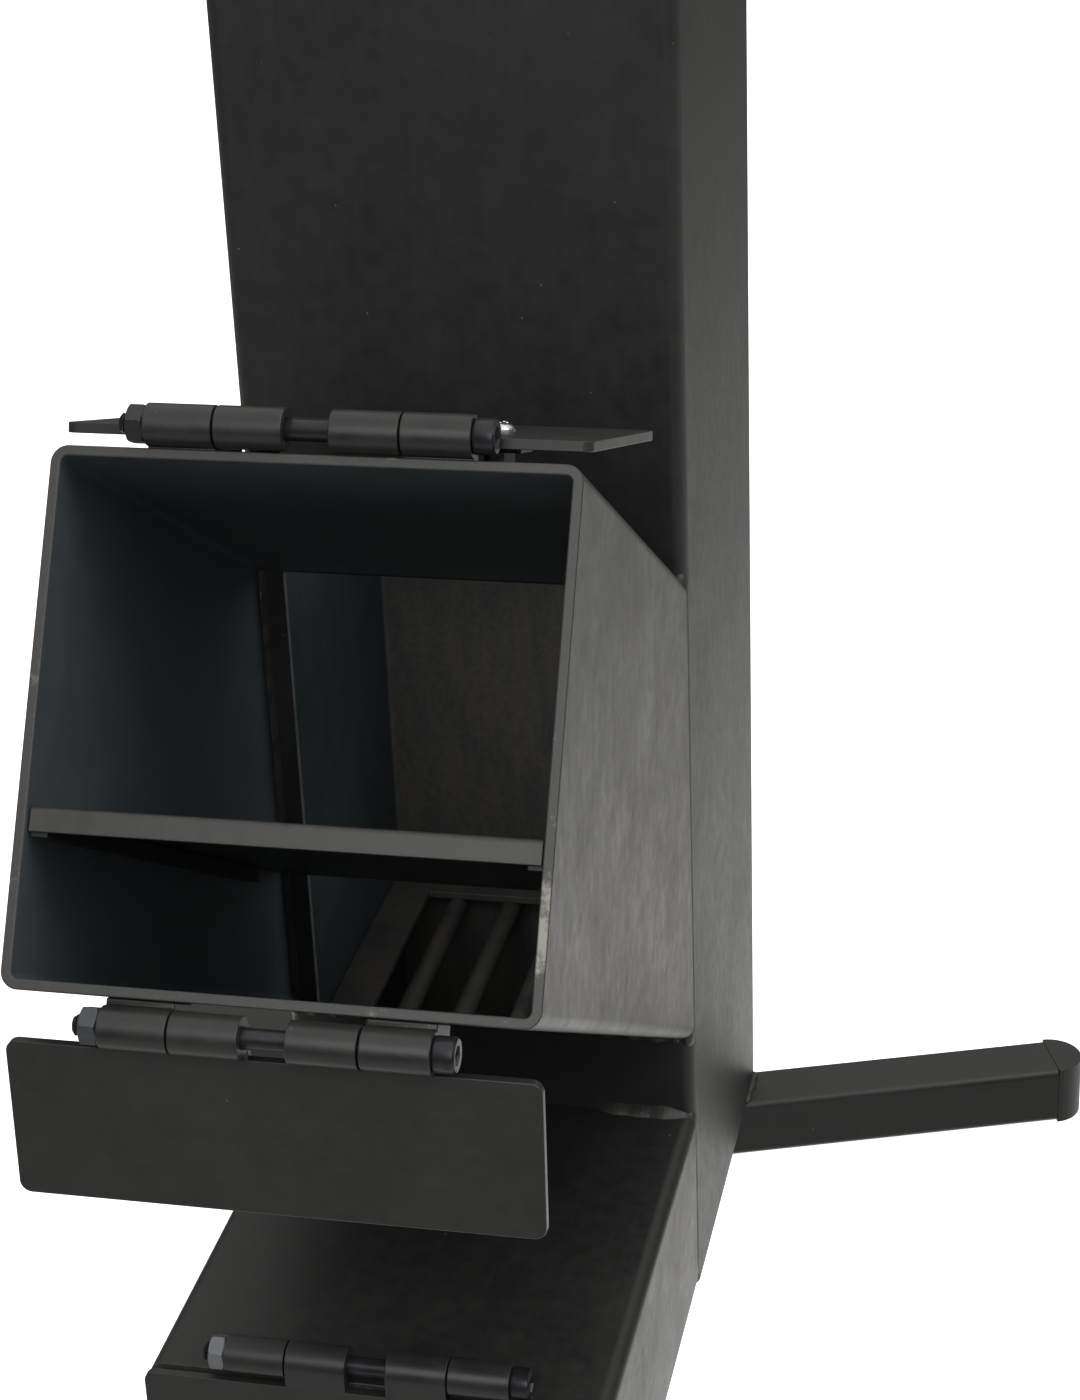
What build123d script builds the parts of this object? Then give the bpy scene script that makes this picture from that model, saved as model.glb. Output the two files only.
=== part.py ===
"""Rocket stove welded from square steel tube, with three doors on bolt hinges and a sliding fuel shelf.

The origin is on the ground where the two legs meet, just behind the chimney's axis.
+Z is up, and the doors face -Y. Sizes are in mm.
"""

from build123d import *
import os
from math import cos, radians, sin, tan

# ---------------------------------------------------------------- driving sizes

# Tubes
tube = 150.0              # outside width of every main tube
wall = 3.0                # tube wall
corner = 5.0              # outside radius of a tube's long edges
chimney_height = 500.0    # length of the upright tube
air_height = 75.0         # outside height of the level air tube
air_reach = 165.5         # how far the air tube stands out of the chimney
feed_angle = 32.0         # slope of the feed tube above level
feed_rise = 32.0          # feed tube's underside above the air tube, at the chimney
feed_length = 281.0       # feed tube's underside, from chimney to mouth
opening_ledge = 8.5       # chimney wall left standing beside each opening cut in it
plate = 3.0               # thickness of doors, shelf, floor and grate seat
seat_gap = 0.3            # clearance where a loose or inset piece lies

# Hinges
bolt_d = 6.0              # hinge bolt
bolt_length = 100.0
bolt_head_d = 10.0
bolt_head_height = 6.0
bolt_head_chamfer = 0.6
bolt_tip_chamfer = 0.7
socket_flats = 5.0
socket_depth = 3.0
nut_flats = 10.0
nut_height = 5.0
bore_gap = 0.05           # running clearance between bolt and knuckle
knuckle_d = 12.0
knuckle_length = 19.5
knuckle_gap = 0.5         # between two neighbouring knuckles
bare_bolt = 13.0          # bolt left bare between the two door knuckles
lid_edge = 8.2            # hinge axis to the lid's near edge
flap_edge = 8.4
ash_edge = 6.3
lid_stand = 0.5           # lid's inner face in front of its hinge axis, when closed
door_split = 1.5          # gap between the closed lid and the closed flap
doors_meet = 1.1          # middle of that gap below the shelf's upper face
door_corner = 3.5
lid_hinge_stand = 0.5     # knuckles off the tube face
flap_hinge_stand = 2.0
ash_hinge_stand = 0.3
flap_hinge_inset = 1.2    # hinge axis behind the mouth
ash_hinge_inset = 0.5
foot_depth = 5.0          # knuckle foot, along the tube
flap_foot_depth = 15.0
foot_setback = 1.0        # knuckle foot behind the hinge axis
lid_hinge_shift = -1.5    # hinges are welded a little off the middle
flap_hinge_shift = 1.0
ash_hinge_shift = -2.0
lid_swing = 256.0         # from closed to thrown back
flap_swing = 209.0        # from closed to hanging
ash_door_lift = 1.0       # ash door's lower edge above the tube's bottom

# Lid handle
handle_drop = 40.0        # lid's near edge to the handle's middle
handle_span = 81.0        # between its two screws
handle_strap = 16.0       # strap width
handle_thickness = 2.5
handle_foot = 8.0         # strap beyond each screw
screw_d = 5.0
screw_gap = 0.1
screw_head_d = 9.0
screw_head_height = 3.2
screw_head_rim = 0.6      # straight rim under the domed head
screw_proud = 1.0         # screw beyond its nut
screw_nut_flats = 8.0
screw_nut_height = 4.0

# Shelf
shelf_height = 50.0       # shelf's upper face above the feed tube's underside
shelf_lip = 7.0
shelf_bend = 1.5          # outside radius where the lip turns down
shelf_setback = 1.5
shelf_end_gap = 8.3       # shelf's inner end to the chimney
shelf_side_gap = 0.5
rail = 5.0                # square rail under each edge of the shelf
rail_short = 40.0         # rails end this far before the shelf does

# Grate
grate_rise = 11.0         # upper face of the grate's seat above the air tube
grate_ledge = 17.0        # width of the seat
grate_rod_d = 8.0
grate_rod_count = 5
grate_rod_pitch = 22.0

# Legs
leg_size = 25.0           # square leg tube, which also sets the ground clearance
leg_wall = 2.0
leg_corner = 3.0
leg_sweep = 19.5          # each leg runs back from square by this angle
leg_meet = 36.0           # where the legs' middle lines meet, behind the chimney's axis
leg_length = 207.0
plug_depth = 15.0
plug_gap = 0.2
foot_inset = 22.0         # front foot's middle behind the air tube's end
foot_side_inset = 16.0    # front foot's ends in from the air tube's sides
foot_cap = 2.0

# Pot cross
cross_bar = 4.0           # thickness of the pot cross's flat bars
cross_height = 30.0
cross_notch = 10.0        # how deep the bars sit in the chimney's rim
cross_overhang = 10.0     # bar beyond the chimney on each side
cross_chamfer = 0.5

# ---------------------------------------------------------------- places worked out from them

inside = tube - 2 * wall
base = leg_size
chimney_y = -leg_meet
front = chimney_y - tube / 2
feed_heel = air_height + feed_rise
grate_height = air_height + grate_rise

across = Vector(1, 0, 0)
up = Vector(0, 0, 1)
feed_out = Vector(0, -cos(radians(feed_angle)), sin(radians(feed_angle)))
feed_up = Vector(0, sin(radians(feed_angle)), cos(radians(feed_angle)))
feed_foot = Vector(0, front, base + feed_heel)
mouth_low = feed_foot + feed_out * feed_length
mouth_high = mouth_low + feed_up * tube
air_mouth = front - air_reach

knuckle_r = knuckle_d / 2
lid_hinge_rise = knuckle_r + lid_hinge_stand
flap_hinge_rise = knuckle_r + flap_hinge_stand
ash_hinge_rise = knuckle_r + ash_hinge_stand
flush_stand = knuckle_r - plate
bore_r = bolt_d / 2 + bore_gap
inner_knuckle = bare_bolt / 2 + knuckle_length / 2
outer_knuckle = inner_knuckle + knuckle_length + knuckle_gap
hinge_half = outer_knuckle + knuckle_length / 2

split_height = shelf_height - doors_meet
flap_height = split_height - door_split / 2 + flap_hinge_rise - flap_edge
lid_height = tube - split_height - door_split / 2 + lid_hinge_rise - lid_edge
ash_door_height = air_height + ash_hinge_rise - ash_edge - ash_door_lift
shelf_length = feed_length - shelf_height * tan(radians(feed_angle)) - shelf_setback - shelf_end_gap
rail_length = shelf_length - rail_short

written = []


def save(part, name):
    """Labels one finished piece and writes it under its own name."""
    part.label = name
    export_step(part, f"parts/{name}.step")
    written.append(name)


def frame_at(origin, away):
    """Plane on a hinge axis: x along the axis, y away from the tube's face."""
    return Plane(origin=origin, x_dir=across, z_dir=across.cross(away))


def level(height):
    """Level plane on the chimney's axis, at a height above the tubes' underside."""
    return Plane(origin=(0, chimney_y, base + height), x_dir=across, z_dir=up)


def turned(vector, degrees):
    """Vector turned about the X direction."""
    return vector.rotate(Axis.X, degrees)


def slice_plane(frame, x):
    """Plane square to the hinge axis at x: its own x points away from the tube, its y out of the frame."""
    return Plane(origin=frame.origin + across * x, x_dir=frame.y_dir, z_dir=across)


# ---------------------------------------------------------------- hinge pieces

def tube_knuckles(frame, side, rise, depth):
    """The two outer knuckles, each on a foot that stands on the tube's face."""
    with BuildPart() as knuckles:
        for x in (-outer_knuckle, outer_knuckle):
            with BuildSketch(slice_plane(frame, x - knuckle_length / 2)):
                Circle(knuckle_r)
                with Locations((-rise / 2, -side * (foot_setback + depth / 2))):
                    Rectangle(rise, depth)
                Circle(bore_r, mode=Mode.SUBTRACT)
            extrude(amount=knuckle_length)
    return knuckles.part


def door_knuckles(frame, side, edge, stand):
    """The two inner knuckles, each with a web that meets the door's near edge."""
    with BuildPart() as knuckles:
        for x in (-inner_knuckle, inner_knuckle):
            with BuildSketch(slice_plane(frame, x - knuckle_length / 2)):
                Circle(knuckle_r)
                with Locations((-edge / 2, side * (stand + plate / 2))):
                    Rectangle(edge, plate)
                Circle(bore_r, mode=Mode.SUBTRACT)
            extrude(amount=knuckle_length)
    return knuckles.part


def hinge_bolt(frame):
    """Socket-head bolt with its head at +X."""
    head_start = hinge_half + knuckle_gap / 2
    with BuildPart() as bolt:
        with BuildSketch(slice_plane(frame, head_start)):
            Circle(bolt_head_d / 2)
        extrude(amount=bolt_head_height)
        chamfer(bolt.faces().sort_by(Axis.X)[-1].edges(), bolt_head_chamfer)
        with BuildSketch(slice_plane(frame, head_start + bolt_head_height)):
            RegularPolygon(socket_flats / 2, 6, major_radius=False)
        extrude(amount=-socket_depth, mode=Mode.SUBTRACT)
        with BuildSketch(slice_plane(frame, head_start)):
            Circle(bolt_d / 2)
        extrude(amount=-bolt_length)
        chamfer(bolt.faces().sort_by(Axis.X)[0].edges(), bolt_tip_chamfer)
    return bolt.part


def hinge_nut(frame):
    """Hexagon nut against the far knuckle."""
    nut_face = -hinge_half - knuckle_gap / 2
    with BuildPart() as nut:
        with BuildSketch(slice_plane(frame, nut_face)):
            RegularPolygon(nut_flats / 2, 6, major_radius=False)
            Circle(bore_r, mode=Mode.SUBTRACT)
        extrude(amount=-nut_height)
    return nut.part


def door_plane(frame, side, edge, stand, height):
    """Plane on the middle of a door's inner face, looking the way the door's outer face looks."""
    centre = frame.origin - frame.y_dir * (edge + height / 2) + frame.z_dir * side * stand
    centre = Vector(0, centre.Y, centre.Z)
    return Plane(origin=centre, x_dir=across, z_dir=frame.z_dir * side)


def door_plate(frame, side, edge, stand, height):
    """Flat door with rounded corners."""
    with BuildPart() as door:
        with BuildSketch(door_plane(frame, side, edge, stand, height)):
            RectangleRounded(tube, height, door_corner)
        extrude(amount=plate)
    return door.part


def save_hinge(name, tube_frame, door_frame, side, rise, depth, edge, stand):
    """Writes the four kinds of piece of one hinge."""
    save(tube_knuckles(tube_frame, side, rise, depth), f"{name}_tube_knuckles")
    save(door_knuckles(door_frame, side, edge, stand), f"{name}_door_knuckles")
    save(hinge_bolt(tube_frame), f"{name}_hinge_bolt")
    save(hinge_nut(tube_frame), f"{name}_hinge_nut")


# ---------------------------------------------------------------- tubes

def tube_profile(width, height, radius, thickness):
    """Hollow rectangle with rounded corners, drawn in the active sketch."""
    RectangleRounded(width, height, radius)
    RectangleRounded(width - 2 * thickness, height - 2 * thickness, radius - thickness, mode=Mode.SUBTRACT)


def make_chimney():
    """Upright tube with the feed and air openings cut in its front wall and notches in its rim."""
    opening_width = inside - 2 * opening_ledge
    past_wall = 2 * wall / cos(radians(feed_angle))
    with BuildPart() as chimney:
        with BuildSketch(level(0)):
            tube_profile(tube, tube, corner, wall)
        extrude(amount=chimney_height)
        feed_middle = mouth_low + feed_up * (tube / 2)
        with BuildSketch(Plane(origin=feed_middle, x_dir=across, z_dir=-feed_out)):
            Rectangle(opening_width, inside)
        extrude(amount=feed_length + past_wall, mode=Mode.SUBTRACT)
        with BuildSketch(Plane(origin=(0, front - wall, base + air_height / 2), x_dir=across, z_dir=(0, 1, 0))):
            Rectangle(opening_width, air_height - 2 * wall)
        extrude(amount=3 * wall, mode=Mode.SUBTRACT)
        notch = cross_bar + 2 * seat_gap
        with BuildSketch(level(chimney_height - cross_notch)):
            Rectangle(tube + 2 * wall, notch)
            Rectangle(notch, tube + 2 * wall)
        extrude(amount=cross_notch, mode=Mode.SUBTRACT)
    return chimney.part


def make_feed_tube():
    """Sloping tube, square at the mouth and cut upright where it meets the chimney."""
    middle = mouth_low + feed_up * (tube / 2)
    with BuildPart() as feed:
        with BuildSketch(Plane(origin=middle, x_dir=across, z_dir=-feed_out)):
            tube_profile(tube, tube, corner, wall)
        extrude(amount=feed_length + wall)
        split(bisect_by=Plane(origin=(0, front, 0), x_dir=across, z_dir=(0, -1, 0)), keep=Keep.TOP)
    return feed.part


def make_air_tube():
    """Level tube from the chimney's foot to the ash door."""
    with BuildPart() as air:
        with BuildSketch(Plane(origin=(0, air_mouth, base + air_height / 2), x_dir=across, z_dir=(0, 1, 0))):
            tube_profile(tube, air_height, corner, wall)
        extrude(amount=air_reach)
    return air.part


def make_floor_plate():
    """Plate let into the chimney's bottom end."""
    side = inside - 2 * seat_gap
    with BuildPart() as floor:
        with BuildSketch(level(0)):
            RectangleRounded(side, side, corner - wall)
        extrude(amount=plate)
    return floor.part


# ---------------------------------------------------------------- grate

def make_grate_seat():
    """Square frame that rings the inside of the chimney above the air tube."""
    side = inside - 2 * seat_gap
    hole = inside - 2 * grate_ledge
    with BuildPart() as seat:
        with BuildSketch(level(grate_height - plate)):
            RectangleRounded(side, side, corner - wall)
            Rectangle(hole, hole, mode=Mode.SUBTRACT)
        extrude(amount=plate)
    return seat.part


def make_grate_rods():
    """Round bars from front to back, welded under the seat."""
    length = inside - 2 * seat_gap
    height = base + grate_height - plate - grate_rod_d / 2
    first = -(grate_rod_count - 1) / 2 * grate_rod_pitch
    with BuildPart() as rods:
        for index in range(grate_rod_count):
            centre = (first + index * grate_rod_pitch, chimney_y - length / 2, height)
            with BuildSketch(Plane(origin=centre, x_dir=across, z_dir=(0, 1, 0))):
                Circle(grate_rod_d / 2)
            extrude(amount=length)
    return rods.part


# ---------------------------------------------------------------- fuel shelf

def shelf_plane(x):
    """Plane square to X on the mouth's lower edge: its x runs into the tube, its y up from the underside."""
    return Plane(origin=mouth_low + across * x, x_dir=-feed_out, z_dir=across)


def make_shelf():
    """Flat plate with its front edge bent down as a lip."""
    half_width = inside / 2 - shelf_side_gap
    with BuildPart() as shelf:
        with BuildSketch(shelf_plane(-half_width)):
            with Locations((shelf_setback + shelf_length / 2, shelf_height - plate / 2)):
                Rectangle(shelf_length, plate)
            with Locations((shelf_setback + plate / 2, shelf_height - shelf_lip / 2)):
                Rectangle(plate, shelf_lip)
        extrude(amount=2 * half_width)
        front_edges = shelf.edges().filter_by(Axis.X).sort_by(Axis(mouth_low, feed_out))[-2:]
        fillet(front_edges.sort_by(Axis.Z)[-1], shelf_bend)
    return shelf.part


def make_rails():
    """Square bars on the feed tube's side walls. Their front ends stop the shelf's lip."""
    start = shelf_setback + plate + seat_gap
    with BuildPart() as rails:
        for x in (-inside / 2, inside / 2 - rail):
            with BuildSketch(shelf_plane(x)):
                middle = shelf_height - plate - seat_gap - rail / 2
                with Locations((start + rail_length / 2, middle)):
                    Rectangle(rail_length, rail)
            extrude(amount=rail)
    return rails.part


# ---------------------------------------------------------------- lid handle

def lid_rest_angle():
    """Angle between the thrown-back lid and the feed tube's upper face."""
    return 270.0 - lid_swing


def make_handle(lid_frame):
    """Flat strap bent into a low bow on the lid's outer face."""
    near = lid_edge + handle_drop - handle_strap / 2
    angle = radians(lid_rest_angle())
    reach = (near * sin(angle) + lid_hinge_rise) / cos(angle) - seat_gap
    height = reach - lid_stand - plate
    middle = lid_frame.origin - lid_frame.y_dir * (lid_edge + handle_drop)
    middle = Vector(0, middle.Y, middle.Z) + lid_frame.z_dir * (lid_stand + plate)
    half = handle_span / 2
    inner = half - handle_foot
    top = height - handle_thickness
    with BuildPart() as handle:
        with BuildSketch(Plane(origin=middle, x_dir=across, z_dir=-lid_frame.y_dir)):
            with BuildLine():
                Polyline(
                    (-half - handle_foot, 0),
                    (-inner, 0),
                    (-inner + top, top),
                    (inner - top, top),
                    (inner, 0),
                    (half + handle_foot, 0),
                )
                offset(amount=handle_thickness, side=Side.LEFT)
            make_face()
        extrude(amount=handle_strap / 2, both=True)
        with BuildSketch(Plane(origin=middle, x_dir=across, z_dir=lid_frame.z_dir)):
            with Locations((-half, 0), (half, 0)):
                Circle(screw_d / 2 + screw_gap)
        extrude(amount=handle_thickness * 2, mode=Mode.SUBTRACT)
    return handle.part


def screw_points(lid_frame, off_plate):
    """Places of the handle's two screws, off_plate in front of the lid's inner face."""
    middle = lid_frame.origin - lid_frame.y_dir * (lid_edge + handle_drop)
    middle = Vector(0, middle.Y, middle.Z) + lid_frame.z_dir * (lid_stand + off_plate)
    return [middle + across * x for x in (-handle_span / 2, handle_span / 2)]


def make_lid(lid_frame):
    """Lid plate with the handle's screw holes."""
    with BuildPart() as lid:
        add(door_plate(lid_frame, 1, lid_edge, lid_stand, lid_height))
        for point in screw_points(lid_frame, 0):
            with BuildSketch(Plane(origin=point, x_dir=across, z_dir=lid_frame.z_dir)):
                Circle(screw_d / 2 + screw_gap)
            extrude(amount=plate, mode=Mode.SUBTRACT)
    return lid.part


def make_handle_screws(lid_frame):
    """Screws with domed heads on the lid's inner face."""
    reach = plate + handle_thickness + screw_nut_height + screw_proud
    with BuildPart() as screws:
        for point in screw_points(lid_frame, 0):
            with BuildSketch(Plane(origin=point, x_dir=across, z_dir=-lid_frame.z_dir)):
                Circle(screw_head_d / 2)
            extrude(amount=screw_head_height)
            with BuildSketch(Plane(origin=point, x_dir=across, z_dir=lid_frame.z_dir)):
                Circle(screw_d / 2)
            extrude(amount=reach)
        crowns = screws.edges().filter_by(GeomType.CIRCLE).group_by(Axis(mouth_high, -lid_frame.z_dir))[-1]
        fillet(crowns, screw_head_height - screw_head_rim)
    return screws.part


def make_handle_nuts(lid_frame):
    """Hexagon nuts on the handle's feet."""
    with BuildPart() as nuts:
        for point in screw_points(lid_frame, plate + handle_thickness):
            with BuildSketch(Plane(origin=point, x_dir=across, z_dir=lid_frame.z_dir)):
                RegularPolygon(screw_nut_flats / 2, 6, major_radius=False)
                Circle(screw_d / 2 + bore_gap, mode=Mode.SUBTRACT)
            extrude(amount=screw_nut_height)
    return nuts.part


# ---------------------------------------------------------------- legs and foot

def leg_plane(side, along):
    """Plane square to a leg, at a distance along it from where the legs meet. Its y is up."""
    run = Vector(side * cos(radians(leg_sweep)), sin(radians(leg_sweep)), 0)
    origin = Vector(0, 0, leg_size / 2) + run * along
    return Plane(origin=origin, x_dir=run.cross(up) * -1, z_dir=run)


def make_leg(side):
    """Square tube under the chimney, mitred where it meets the other leg."""
    lead = leg_size
    with BuildPart() as leg:
        with BuildSketch(leg_plane(side, -lead)):
            tube_profile(leg_size, leg_size, leg_corner, leg_wall)
        extrude(amount=leg_length + lead)
        split(bisect_by=Plane(origin=(0, 0, 0), x_dir=(0, 1, 0), z_dir=(side, 0, 0)), keep=Keep.TOP)
    return leg.part


def make_leg_caps():
    """Plastic ends of the legs, round in plan, each with a plug in its tube."""
    plug = leg_size - 2 * leg_wall - 2 * plug_gap
    with BuildPart() as caps:
        for side in (-1, 1):
            tip = leg_plane(side, leg_length)
            with BuildSketch(Plane(origin=tip.origin - up * (leg_size / 2), x_dir=tip.z_dir, z_dir=up)):
                Circle(leg_size / 2)
                with Locations((-leg_size / 2, 0)):
                    Rectangle(leg_size, leg_size, mode=Mode.SUBTRACT)
            extrude(amount=leg_size)
            with BuildSketch(tip):
                RectangleRounded(plug, plug, leg_corner - leg_wall)
            extrude(amount=-plug_depth)
    return caps.part


def make_front_foot():
    """Square tube across the air tube's outer end."""
    length = tube - 2 * foot_side_inset - 2 * foot_cap
    start = (-length / 2, air_mouth + foot_inset, leg_size / 2)
    with BuildPart() as foot:
        with BuildSketch(Plane(origin=start, x_dir=(0, 1, 0), z_dir=across)):
            tube_profile(leg_size, leg_size, leg_corner, leg_wall)
        extrude(amount=length)
    return foot.part


def make_foot_caps():
    """Flat plastic ends of the front foot."""
    plug = leg_size - 2 * leg_wall - 2 * plug_gap
    with BuildPart() as caps:
        for side in (-1, 1):
            end_x = side * (tube / 2 - foot_side_inset - foot_cap)
            end = (end_x, air_mouth + foot_inset, leg_size / 2)
            with BuildSketch(Plane(origin=end, x_dir=(0, 1, 0), z_dir=(side, 0, 0))):
                RectangleRounded(leg_size, leg_size, leg_corner)
            extrude(amount=foot_cap)
            with BuildSketch(Plane(origin=end, x_dir=(0, 1, 0), z_dir=(side, 0, 0))):
                RectangleRounded(plug, plug, leg_corner - leg_wall)
            extrude(amount=-plug_depth)
    return caps.part


# ---------------------------------------------------------------- pot cross

def make_cross_bar(direction, slot_from_top):
    """One flat bar of the pot cross, halved at its middle to take the other."""
    length = tube + 2 * cross_overhang
    bottom = base + chimney_height - cross_notch + seat_gap
    slot = cross_bar + 2 * bore_gap
    slot_depth = cross_height / 2 + bore_gap
    slot_bottom = bottom + cross_height - slot_depth if slot_from_top else bottom
    with BuildPart() as bar:
        with BuildSketch(Plane(origin=(0, chimney_y, bottom), x_dir=direction, z_dir=up)):
            Rectangle(length, cross_bar)
        extrude(amount=cross_height)
        chamfer(bar.edges().filter_by(Axis.Z), cross_chamfer)
        with BuildSketch(Plane(origin=(0, chimney_y, slot_bottom), x_dir=direction, z_dir=up)):
            Rectangle(slot, 2 * cross_bar)
        extrude(amount=slot_depth, mode=Mode.SUBTRACT)
    return bar.part


# ---------------------------------------------------------------- the whole stove

os.makedirs("parts", exist_ok=True)

lid_axis = mouth_high + feed_up * lid_hinge_rise + across * lid_hinge_shift
flap_axis = mouth_low - feed_up * flap_hinge_rise - feed_out * flap_hinge_inset + across * flap_hinge_shift
ash_axis = Vector(ash_hinge_shift, air_mouth + ash_hinge_inset, base + air_height + ash_hinge_rise)

lid_tube_frame = frame_at(lid_axis, feed_up)
lid_frame = frame_at(lid_axis, turned(feed_up, -lid_swing))
flap_tube_frame = frame_at(flap_axis, -feed_up)
flap_frame = frame_at(flap_axis, turned(-feed_up, flap_swing))
ash_frame = frame_at(ash_axis, up)

save(make_chimney(), "chimney")
save(make_feed_tube(), "feed_tube")
save(make_air_tube(), "air_tube")
save(make_floor_plate(), "floor_plate")
save(make_grate_seat(), "grate_seat")
save(make_grate_rods(), "grate_rods")
save(make_shelf(), "fuel_shelf")
save(make_rails(), "shelf_rails")

save(make_lid(lid_frame), "lid")
save(make_handle(lid_frame), "lid_handle")
save(make_handle_screws(lid_frame), "lid_handle_screws")
save(make_handle_nuts(lid_frame), "lid_handle_nuts")
save_hinge("lid", lid_tube_frame, lid_frame, 1, lid_hinge_rise, foot_depth, lid_edge, lid_stand)

save(door_plate(flap_frame, -1, flap_edge, flush_stand, flap_height), "flap")
save_hinge("flap", flap_tube_frame, flap_frame, -1, flap_hinge_rise, flap_foot_depth, flap_edge, flush_stand)

save(door_plate(ash_frame, 1, ash_edge, flush_stand, ash_door_height), "ash_door")
save_hinge("ash", ash_frame, ash_frame, 1, ash_hinge_rise, foot_depth, ash_edge, flush_stand)

save(make_leg(-1), "leg_left")
save(make_leg(1), "leg_right")
save(make_leg_caps(), "leg_caps")
save(make_front_foot(), "front_foot")
save(make_foot_caps(), "foot_caps")
save(make_cross_bar((1, 0, 0), True), "pot_cross_bar_across")
save(make_cross_bar((0, 1, 0), False), "pot_cross_bar_along")

for name, axis in (("lid", lid_axis), ("flap", flap_axis), ("ash door", ash_axis)):
    print(f"{name} hinge axis at {axis.X:.3f} {axis.Y:.3f} {axis.Z:.3f}")
print(f"feed direction {feed_out.X:.6f} {feed_out.Y:.6f} {feed_out.Z:.6f}")
print(f"{len(written)} pieces written")
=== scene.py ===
"""Rocket stove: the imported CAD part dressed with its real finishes, in metres, on a plain pale floor."""

import bmesh
import bpy
import numpy as np
from mathutils import Matrix, Vector


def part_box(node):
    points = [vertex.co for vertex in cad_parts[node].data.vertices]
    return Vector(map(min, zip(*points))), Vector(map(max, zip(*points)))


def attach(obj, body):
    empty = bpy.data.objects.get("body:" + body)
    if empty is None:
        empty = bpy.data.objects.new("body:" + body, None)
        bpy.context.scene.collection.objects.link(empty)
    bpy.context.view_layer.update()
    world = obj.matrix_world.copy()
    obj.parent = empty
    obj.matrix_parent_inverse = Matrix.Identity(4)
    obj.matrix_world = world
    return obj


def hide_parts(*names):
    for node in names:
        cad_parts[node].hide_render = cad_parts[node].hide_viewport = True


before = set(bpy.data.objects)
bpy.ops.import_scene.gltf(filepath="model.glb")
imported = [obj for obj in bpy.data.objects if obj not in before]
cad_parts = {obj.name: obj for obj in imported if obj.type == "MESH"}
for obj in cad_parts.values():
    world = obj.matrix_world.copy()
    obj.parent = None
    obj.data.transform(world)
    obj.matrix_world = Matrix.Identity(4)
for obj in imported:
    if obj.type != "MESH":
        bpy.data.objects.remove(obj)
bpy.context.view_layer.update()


# ------------------------------------------------------------------ chimney
# The upright tube: 150 mm square steel tube with a 3 mm wall, sawn to length, with the doorways for
# feed and air flame-cut in its front. It is sprayed with matt heat-resistant black, and a floor
# plate closes its lower end.

tube_width = 0.150


def linear(code):
    """sRGB hex colour as linear RGBA: ((c + 0.055) / 1.055) to the power 2.4, or c / 12.92 near black."""
    c = np.array([int(code[i:i + 2], 16) for i in (1, 3, 5)]) / 255
    c = np.where(c <= 0.04045, c / 12.92, ((c + 0.055) / 1.055) ** 2.4)
    return (*c, 1.0)


def add(tree, kind, feeds={}, **settings):
    """Adds one node: feeds maps an input socket to a value or to the socket that drives it."""
    made = tree.nodes.new(kind)
    for key, value in settings.items():
        setattr(made, key, value)
    for key, value in feeds.items():
        if isinstance(value, bpy.types.NodeSocket):
            tree.links.new(value, made.inputs[key])
        else:
            made.inputs[key].default_value = value
    return made


def new_finish(name):
    """Empty node material and its tree."""
    material = bpy.data.materials.new(name)
    material.use_nodes = True
    material.node_tree.nodes.clear()
    return material, material.node_tree


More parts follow.
